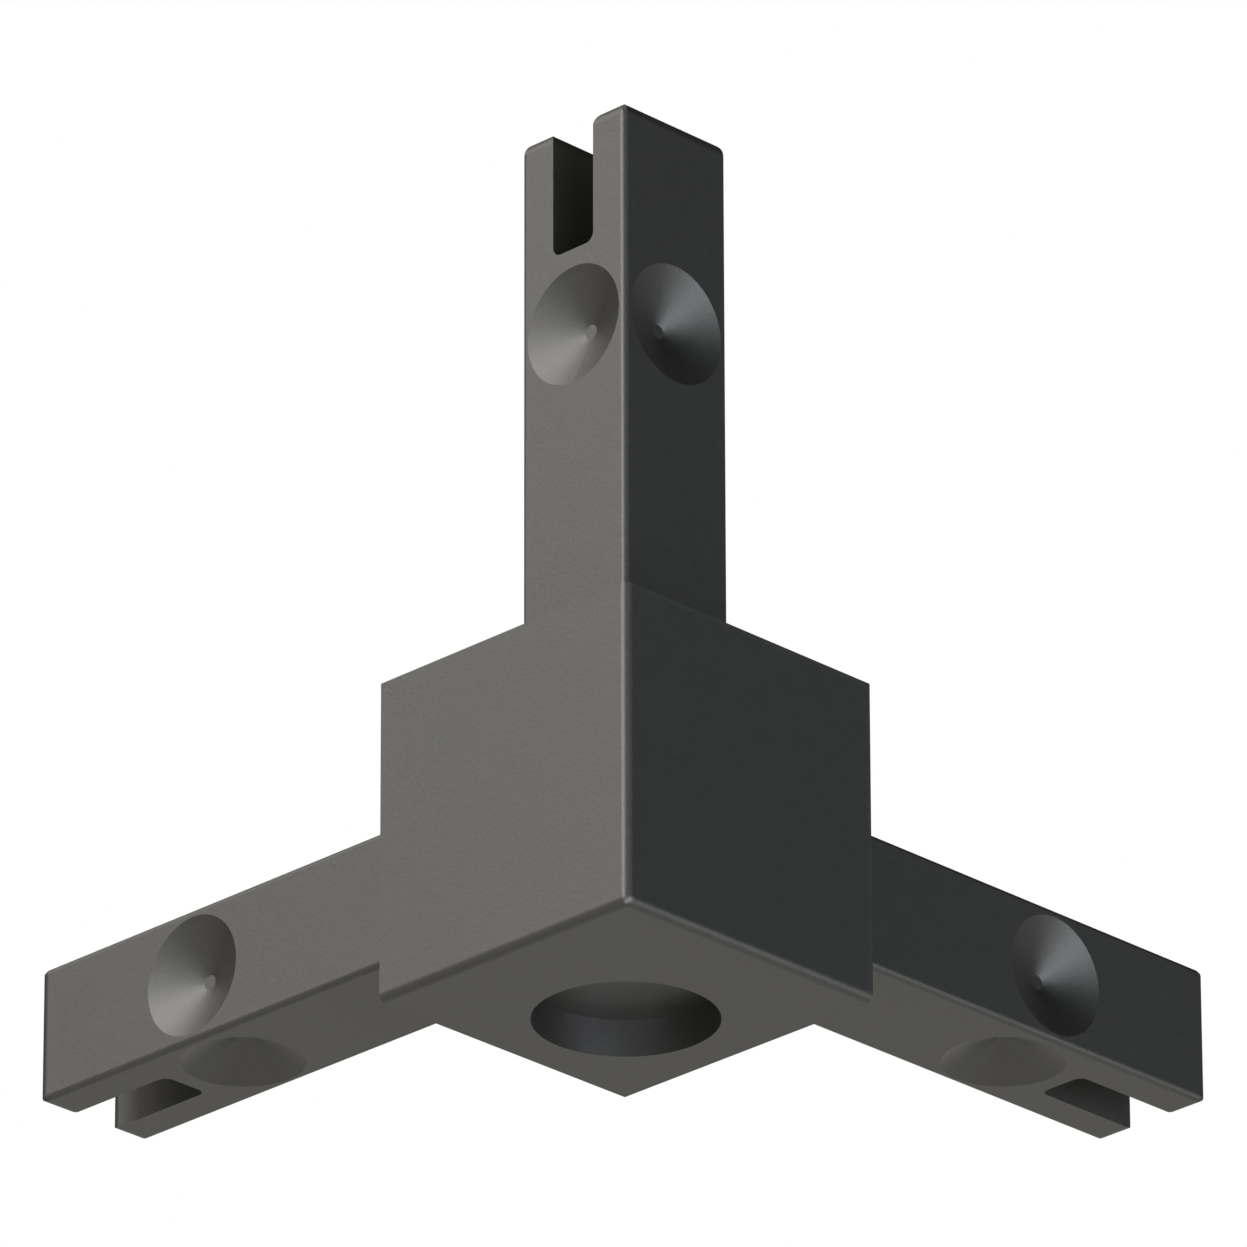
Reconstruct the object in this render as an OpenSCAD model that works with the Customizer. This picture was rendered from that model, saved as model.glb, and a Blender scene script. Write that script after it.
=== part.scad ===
// Three-way corner connector for square-cored frame profiles.
// A cube hub carries three equal square arms, at right angles to each other.
// Each arm ends in a fork and has a conical screw dimple on every side.
// Millimetres. The hub's base lies on z = 0 and the z axis is the axis of the foot recess.

/* [Hub] */
// Side of the cube hub, equal to the side of the frame profile.
hub_side = 20; // [17:0.5:30]
// Radius of the three hub edges that meet at the outer corner.
hub_edge_radius = 0.5; // [0.2:0.1:1.5]

/* [Arms] */
// Side of the square arms.
arm_side = 8.5; // [8.5:0.1:12]
// Length of an arm from its hub face to its tip.
arm_length = 35; // [24:0.1:60]
// Radius of the four long edges of an arm.
arm_edge_radius = 0.35; // [0.1:0.05:0.45]
// Radius of the four outer edges around the tip of an arm, and of its turned corners.
tip_radius = 0.9; // [0.2:0.1:1.5]

/* [Fork] */
// Width of the slot between the two prongs.
slot_width = 3.3; // [1.6:0.1:4]
// Length of the slot, from the tip to its floor.
slot_length = 8.4; // [3:0.1:9]
// Radius of the two corners of the slot's floor.
slot_floor_radius = 0.6; // [0.1:0.1:0.7]
// Radius of the two prong edges that lead into the slot.
slot_lead_radius = 0.9; // [0.2:0.1:1]

/* [Screw dimples] */
// Diameter of a dimple at the face of the arm.
dimple_d = 7.5; // [3:0.1:7.6]
// Diameter of the small flat at the bottom of a dimple.
dimple_flat_d = 0.9; // [0.3:0.1:2.5]
// Depth of a dimple.
dimple_depth = 1.5; // [0.5:0.1:2]
// Distance from the tip of an arm to the middle of its dimples.
dimple_from_tip = 13.3; // [12.5:0.1:18]

/* [Foot recess] */
// Diameter of the round recess in the base of the hub.
recess_d = 11; // [4:0.5:14]
// Depth of the recess.
recess_depth = 2.3; // [0.5:0.1:4]
// Distance of the recess from the middle of the base, along each of the two level arms.
recess_shift = 1.85; // [0:0.05:2]

/* [Hidden] */
$fn = 128;
// How far a cutting shape reaches past the surface that it cuts.
over = 1;
half_hub = hub_side / 2;
half_arm = arm_side / 2;
// From the middle of the hub, where the three arm axes cross, to the tip of an arm.
arm_reach = half_hub + arm_length;
half_slot = slot_width / 2;
slot_floor = arm_reach - slot_length;
dimple_at = arm_reach - dimple_from_tip;
// From an arm's axis to its long edges, rounded as they are.
corner_reach = half_arm * sqrt(2) - arm_edge_radius * (sqrt(2) - 1);
dimple_slope = (dimple_d - dimple_flat_d) / 2 / dimple_depth;
dimple_mouth_r = dimple_d / 2 + over * dimple_slope;

// One of the hub's three rounded edges, along +x from the ball corner at the origin.
module hub_edge() {
    rotate([0, 90, 0]) cylinder(h = hub_side - hub_edge_radius, r = hub_edge_radius);
}

// The hub, centred on the origin, with its rounded outer corner at -x, -y, -z.
// Three slabs, each one radius short on two sides, leave room for the rounded edges between them.
module hub() {
    r = hub_edge_radius;
    cut = hub_side - r;
    translate([-half_hub, -half_hub, -half_hub]) {
        translate([r, r, 0]) cube([cut, cut, hub_side]);
        translate([r, 0, r]) cube([cut, hub_side, cut]);
        translate([0, r, r]) cube([hub_side, cut, cut]);
        translate([r, r, r]) {
            sphere(r);
            hub_edge();
            rotate([0, 0, 90]) hub_edge();
            rotate([0, -90, 0]) hub_edge();
        }
    }
}

// The cross section of an arm, with its four corners rounded.
module arm_profile() {
    r = arm_edge_radius;
    inner = arm_side - 2 * r;
    square([arm_side, inner], center = true);
    square([inner, arm_side], center = true);
    for (x = [-inner / 2, inner / 2], y = [-inner / 2, inner / 2])
        translate([x, y]) circle(r);
}

// The side view of an arm, from the middle of the hub to its rounded tip: x across and y along it.
module arm_side_view() {
    r = tip_radius;
    inner = arm_side - 2 * r;
    translate([-half_arm, 0]) square([arm_side, arm_reach - r]);
    translate([-inner / 2, 0]) square([inner, arm_reach]);
    for (x = [-inner / 2, inner / 2])
        translate([x, arm_reach - r]) circle(r);
}

// The outline of the slot, in the plane across the two prongs: x across the arm and y along it.
module slot_profile() {
    r = slot_floor_radius;
    lead = slot_lead_radius;
    translate([-half_slot, slot_floor + r]) square([slot_width, slot_length - r + over]);
    translate([r - half_slot, slot_floor]) square([slot_width - 2 * r, r + over]);
    for (side = [0, 1]) mirror([side, 0]) {
        translate([half_slot - r, slot_floor + r]) circle(r);
        difference() {
            translate([0, arm_reach - lead]) square([half_slot + lead, lead + over]);
            translate([half_slot + lead, arm_reach - lead]) circle(lead);
        }
    }
}

// The fork's view across its two prongs.
module fork_view() {
    difference() {
        arm_side_view();
        slot_profile();
    }
}

// A turned form about the arm's axis. It is wider than the arm up to the last stretch,
// where it takes the points off the tip's four corners.
module tip_turning() {
    r = tip_radius;
    rotate_extrude() {
        square([corner_reach + over, arm_reach - r]);
        square([corner_reach - r, arm_reach]);
        translate([corner_reach - r, arm_reach - r]) circle(r);
    }
}

// A conical dimple in the arm's +x face.
module dimple_cut() {
    translate([half_arm - dimple_depth, 0, dimple_at]) rotate([0, 90, 0])
        cylinder(h = dimple_depth + over, r1 = dimple_flat_d / 2, r2 = dimple_mouth_r);
}

// An arm along +z from the middle of the hub. Its slot goes through along x.
module arm() {
    difference() {
        intersection() {
            linear_extrude(arm_reach) arm_profile();
            rotate([90, 0, 0]) linear_extrude(arm_side, center = true) arm_side_view();
            rotate([90, 0, 90]) linear_extrude(arm_side, center = true) fork_view();
            tip_turning();
        }
        for (turn = [0:90:270]) rotate(turn) dimple_cut();
    }
}

// The blind round recess in the base, which lies on z = 0.
module recess_cut() {
    translate([0, 0, -over]) cylinder(h = recess_depth + over, d = recess_d);
}

module corner_connector() {
    middle = [-recess_shift, -recess_shift, half_hub];
    color([0.16, 0.16, 0.155]) difference() {
        translate(middle) {
            hub();
            arm();
            rotate([0, 90, 0]) arm();
            rotate([-90, 0, 0]) rotate(90) arm();
        }
        recess_cut();
    }
}

corner_connector();
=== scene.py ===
import math
import bpy
from mathutils import Matrix, Vector

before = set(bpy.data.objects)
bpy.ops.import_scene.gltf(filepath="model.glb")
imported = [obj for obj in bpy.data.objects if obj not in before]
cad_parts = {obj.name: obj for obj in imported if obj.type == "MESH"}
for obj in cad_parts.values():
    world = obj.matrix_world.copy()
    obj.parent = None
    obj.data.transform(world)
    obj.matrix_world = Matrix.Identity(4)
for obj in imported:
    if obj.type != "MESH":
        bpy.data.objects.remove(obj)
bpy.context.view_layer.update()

# The casting's own measures in metres, as its source has them.
HUB_MIDDLE = (-0.00185, -0.00185, 0.010)
HALF_HUB = 0.010
HALF_ARM = 0.00425
ARM_REACH = 0.045

# Rubbed edges, in metres: how wide they are, and how far past the hub an arm is taken to begin.
RUBBED_WIDTH = 0.0005
PAST_HUB = 0.00002

# The satin metal. Noise scales are per metre, and the height is in metres.
GRAIN_SCALE = 4200
CLOUD_SCALE = 700
RUBBING_SCALE = 1500
GRAIN_HEIGHT = 0.000007
DARK_COAT = (0.0922, 0.0906, 0.0845, 1)
LIGHT_COAT = (0.1146, 0.1127, 0.1052, 1)
BARE_METAL = (0.18, 0.176, 0.166, 1)
BARE_SHARE = 0.04
COAT_ROUGHNESS = 0.475

# The photograph's camera: angles in degrees, distance and aim in metres, lens and sensor in millimetres.
CAMERA_AZIMUTH = 44.6052
CAMERA_ELEVATION = -24.8230
CAMERA_ROLL = -0.1557
CAMERA_DISTANCE = 0.79397
CAMERA_AIM = (-0.005674, -0.005484, 0.0214025)
CAMERA_LENS = 398.09
CAMERA_SENSOR = 36

# The studio's two sheets, in metres: half their side, and where they are.
SHEET_CORNERS = [(-1, -1), (1, -1), (1, 1), (-1, 1)]
FLOOR_SIZE = 3.0
FLOOR_HEIGHT = -0.0004
BACKDROP_SIZE = 0.25
BACKDROP_DISTANCE = 1.6

# The world's strength where the camera doesn't see it directly.
FAINT_LIGHT = 0.02

# Soft boxes: name, direction from the casting towards the lamp, strength and tint. Angle in degrees.
SOFT_BOX_ANGLE = 35
SOFT_BOXES = [
    ("key_box", (-0.81, 0.20, 0.55), 0.675, (0.96, 0.97, 1.00)),
    ("front_under_box", (-0.68, -0.29, -0.67), 0.577, (0.87, 0.96, 1.00)),
    ("right_low_box", (0.10, -0.94, -0.33), 0.412, (0.81, 0.88, 1.00)),
    ("right_under_box", (-0.20, -0.79, -0.58), 0.385, (0.75, 0.69, 1.00)),
    ("right_front_box", (-0.44, -0.88, -0.17), 0.311, (0.92, 1.00, 0.99)),
    ("top_box", (-0.27, 0.13, 0.95), 0.302, (1.00, 0.93, 0.98)),
    ("under_box", (-0.39, -0.02, -0.92), 0.182, (1.00, 0.90, 0.65)),
    ("back_top_box", (-0.49, 0.51, 0.70), 0.178, (1.00, 0.97, 0.88)),
    ("left_box", (-0.99, 0.03, 0.14), 0.122, (0.99, 0.95, 1.00)),
    ("far_right_box", (0.54, -0.69, -0.48), 0.106, (1.00, 0.97, 0.80)),
    ("far_box", (0.92, 0.35, -0.14), 0.083, (1.00, 0.97, 0.88)),
    ("far_under_box", (0.59, 0.14, -0.80), 0.077, (1.00, 0.97, 0.86)),
    ("back_under_box", (0.29, 0.65, -0.70), 0.069, (1.00, 0.99, 0.98)),
    ("back_box", (0.57, 0.77, -0.30), 0.059, (1.00, 0.98, 0.86)),
    ("back_left_box", (-0.59, 0.81, 0.05), 0.056, (1.00, 0.96, 0.82)),
    ("far_side_box", (0.98, -0.20, 0.02), 0.043, (0.87, 0.84, 1.00)),
    ("far_low_box", (0.73, -0.25, -0.64), 0.040, (0.67, 0.74, 1.00)),
    ("left_under_box", (-0.38, 0.70, -0.61), 0.035, (1.00, 1.00, 0.79)),
    ("left_low_box", (-0.70, 0.62, -0.36), 0.033, (1.00, 0.89, 1.00)),
    ("far_right_top_box", (0.71, -0.68, 0.17), 0.016, (0.50, 0.94, 1.00)),
    ("far_top_box", (0.83, -0.37, 0.42), 0.013, (1.00, 0.85, 0.46)),
    ("far_back_box", (0.70, 0.46, -0.55), 0.012, (0.58, 0.67, 1.00)),
]


class Amount:
    """A node's output, which varies over a surface. Arithmetic on it adds Math nodes."""

    def __init__(self, finish, socket):
        self.finish = finish
        self.socket = socket

    def math(self, operation, *others):
        inputs = dict(enumerate((self,) + others))
        return self.finish.node("Math", {"operation": operation}, inputs)

    def __add__(self, other):
        return self.math("ADD", other)

    def __sub__(self, other):
        return self.math("SUBTRACT", other)

    def __rsub__(self, other):
        return self.finish.node("Math", {"operation": "SUBTRACT"}, {0: other, 1: self})

    def __mul__(self, other):
        return self.math("MULTIPLY", other)

    __radd__ = __add__
    __rmul__ = __mul__

    def at_least(self, other):
        return self.math("MAXIMUM", other)

    def at_most(self, other):
        return self.math("MINIMUM", other)

    def over(self, limit):
        return self.math("GREATER_THAN", limit)


class Finish:
    """The node tree of a material or of the world."""

    def __init__(self, tree):
        self.tree = tree
        tree.nodes.clear()

    def node(self, kind, settings=None, inputs=None, output=0):
        """Adds a node, applies its settings, fills or links its sockets and gives back one output."""
        made = self.tree.nodes.new("ShaderNode" + kind)
        for name, value in (settings or {}).items():
            setattr(made, name, value)
        for name, value in (inputs or {}).items():
            if isinstance(value, Amount):
                self.tree.links.new(value.socket, made.inputs[name])
            else:
                made.inputs[name].default_value = value
        return Amount(self, made.outputs[output]) if made.outputs else None


def new_material(name):
    """A material and its empty node tree."""
    material = bpy.data.materials.new(name)
    material.use_nodes = True
    return material, Finish(material.node_tree)


def near(distance, limit, width=RUBBED_WIDTH):
    """0 up to limit - width, then rising smoothly to 1 at limit."""
    settings = {"interpolation_type": "SMOOTHSTEP"}
    inputs = {"Value": distance, "From Min": limit - width, "From Max": limit}
    return distance.finish.node("MapRange", settings, inputs)


def edge_wear(finish, place):
    """Where the coating is rubbed: 1 on the casting's outer edges.

    With a, b, c the distances from the hub's middle along the three axes, a hub edge is where the
    second largest reaches half the hub, a long arm edge where the smallest reaches half the arm, and
    a tip edge where the largest reaches the tip and the second largest half the arm.
    """
    offset = finish.node("VectorMath", {"operation": "SUBTRACT"}, {0: place, 1: HUB_MIDDLE})
    away = finish.node("VectorMath", {"operation": "ABSOLUTE"}, {0: offset})
    a, b, c = (finish.node("SeparateXYZ", {}, {"Vector": away}, i) for i in range(3))
    smallest = a.at_most(b).at_most(c)
    largest = a.at_least(b).at_least(c)
    second = a + b + c - smallest - largest
    on_arm = largest.over(HALF_HUB + PAST_HUB)
    hub_edge = near(second, HALF_HUB)
    arm_edge = near(smallest, HALF_ARM)
    tip_edge = near(largest, ARM_REACH) * near(second, HALF_ARM)
    return arm_edge.at_least(tip_edge) * on_arm + hub_edge * (1 - on_arm)


def noise(finish, place, scale, detail):
    """Cloudy noise between 0 and 1."""
    return finish.node("TexNoise", {}, {"Vector": place, "Scale": scale, "Detail": detail})


def mixed_colour(finish, share, first, second):
    """The first colour, with a share of the second."""
    inputs = {"Factor": share, "A": first, "B": second}
    return finish.node("Mix", {"data_type": "RGBA"}, inputs, "Result")


def satin_metal():
    """Dark coated metal with a satin sheen, a fine cast grain, faint clouds and rubbed edges."""
    material, finish = new_material("satin_dark_metal")
    place = finish.node("TexCoord", output="Object")
    grain = noise(finish, place, GRAIN_SCALE, 3)
    clouds = noise(finish, place, CLOUD_SCALE, 3)
    rubbing = noise(finish, place, RUBBING_SCALE, 2)
    wear = edge_wear(finish, place) * (0.35 + 0.9 * rubbing).at_most(1)
    coat = mixed_colour(finish, 0.75 * grain + 0.25 * clouds, DARK_COAT, LIGHT_COAT)
    shade = mixed_colour(finish, BARE_SHARE * wear, coat, BARE_METAL)
    roughness = COAT_ROUGHNESS + 0.02 * clouds + 0.03 * grain + 0.04 * wear
    bump = finish.node("Bump", {}, {"Strength": 1.0, "Distance": GRAIN_HEIGHT, "Height": grain})
    looks = {"Base Color": shade, "Metallic": 1.0, "Roughness": roughness, "Normal": bump}
    shader = finish.node("BsdfPrincipled", {}, looks)
    finish.node("OutputMaterial", {}, {"Surface": shader})
    return material


def floor_material():
    """Pale floor that only the camera sees, and only from above, so that light passes it."""
    material, finish = new_material("pale_floor")
    seen = finish.node("LightPath", output="Is Camera Ray")
    backfacing = finish.node("NewGeometry", output="Backfacing")
    looks = {"Base Color": (0.79, 0.81, 0.79, 1), "Roughness": 0.9}
    pale = finish.node("BsdfPrincipled", {}, looks)
    clear = finish.node("BsdfTransparent")
    mixed = finish.node("MixShader", {}, {0: seen * (1 - backfacing), 1: clear, 2: pale})
    finish.node("OutputMaterial", {}, {"Surface": mixed})
    return material


def backdrop_material():
    """White backdrop at strength 1, seen by the camera and in the metal."""
    material, finish = new_material("white_backdrop")
    white = finish.node("Emission", {}, {"Color": (1, 1, 1, 1), "Strength": 1.0})
    finish.node("OutputMaterial", {}, {"Surface": white})
    return material


def add_sheet(name, corners, material):
    """A flat four-cornered sheet of the studio, which isn't part of the object."""
    mesh = bpy.data.meshes.new(name)
    mesh.from_pydata(corners, [], [(0, 1, 2, 3)])
    mesh.materials.append(material)
    sheet = bpy.data.objects.new(name, mesh)
    bpy.context.scene.collection.objects.link(sheet)
    return sheet


def camera_axes():
    """The camera's right, up and backward directions."""
    azimuth, elevation = math.radians(CAMERA_AZIMUTH), math.radians(CAMERA_ELEVATION)
    roll = math.radians(CAMERA_ROLL)
    level = math.cos(elevation)
    back = Vector((-level * math.cos(azimuth), -level * math.sin(azimuth), math.sin(elevation)))
    right = Vector((0, 0, 1)).cross(back).normalized()
    up = back.cross(right)
    turned_right = math.cos(roll) * right + math.sin(roll) * up
    turned_up = math.cos(roll) * up - math.sin(roll) * right
    return turned_right, turned_up, back


def add_camera(right, up, back):
    """The photograph's camera, below the base, in front of the outer corner."""
    data = bpy.data.cameras.new("camera")
    data.sensor_fit = "HORIZONTAL"
    data.sensor_width = CAMERA_SENSOR
    data.lens = CAMERA_LENS
    data.clip_start = 0.01
    data.clip_end = 20
    camera = bpy.data.objects.new("camera", data)
    bpy.context.scene.collection.objects.link(camera)
    turn = Matrix((right, up, back)).transposed().to_4x4()
    camera.matrix_world = Matrix.Translation(Vector(CAMERA_AIM) + CAMERA_DISTANCE * back) @ turn
    bpy.context.scene.camera = camera


def add_studio(right, up, back):
    """Pale floor under the base and a white backdrop behind the casting."""
    floor = [(x * FLOOR_SIZE, y * FLOOR_SIZE, FLOOR_HEIGHT) for x, y in SHEET_CORNERS]
    add_sheet("floor", floor, floor_material())
    middle = Vector(CAMERA_AIM) - BACKDROP_DISTANCE * back
    backdrop = [middle + BACKDROP_SIZE * (x * right + y * up) for x, y in SHEET_CORNERS]
    sheet = add_sheet("backdrop", backdrop, backdrop_material())
    sheet.visible_shadow = False
    sheet.visible_diffuse = False


def add_soft_boxes():
    """Soft boxes far away, each a lamp as wide as SOFT_BOX_ANGLE."""
    for name, direction, strength, tint in SOFT_BOXES:
        lamp = bpy.data.lights.new(name, "SUN")
        lamp.angle = math.radians(SOFT_BOX_ANGLE)
        lamp.energy = math.pi * strength
        lamp.color = tint
        box = bpy.data.objects.new(name, lamp)
        box.rotation_mode = "QUATERNION"
        box.rotation_quaternion = Vector(direction).to_track_quat("Z", "Y")
        bpy.context.scene.collection.objects.link(box)


def add_world():
    """White behind everything for the camera, and a faint even light for the rest."""
    world = bpy.data.worlds.new("studio")
    world.use_nodes = True
    bpy.context.scene.world = world
    finish = Finish(world.node_tree)
    seen = finish.node("LightPath", output="Is Camera Ray")
    through = finish.node("LightPath", output="Is Transmission Ray")
    shown = seen.at_least(through)
    strength = shown + FAINT_LIGHT * (1 - shown)
    white = finish.node("Background", {}, {"Color": (1, 1, 1, 1), "Strength": strength})
    finish.node("OutputWorld", {}, {"Surface": white})


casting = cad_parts["corner_connector"]
metal = satin_metal()
for material_slot in casting.material_slots:
    material_slot.material = metal

bpy.context.scene.view_settings.view_transform = "Standard"
axes = camera_axes()
add_camera(*axes)
add_studio(*axes)
add_soft_boxes()
add_world()
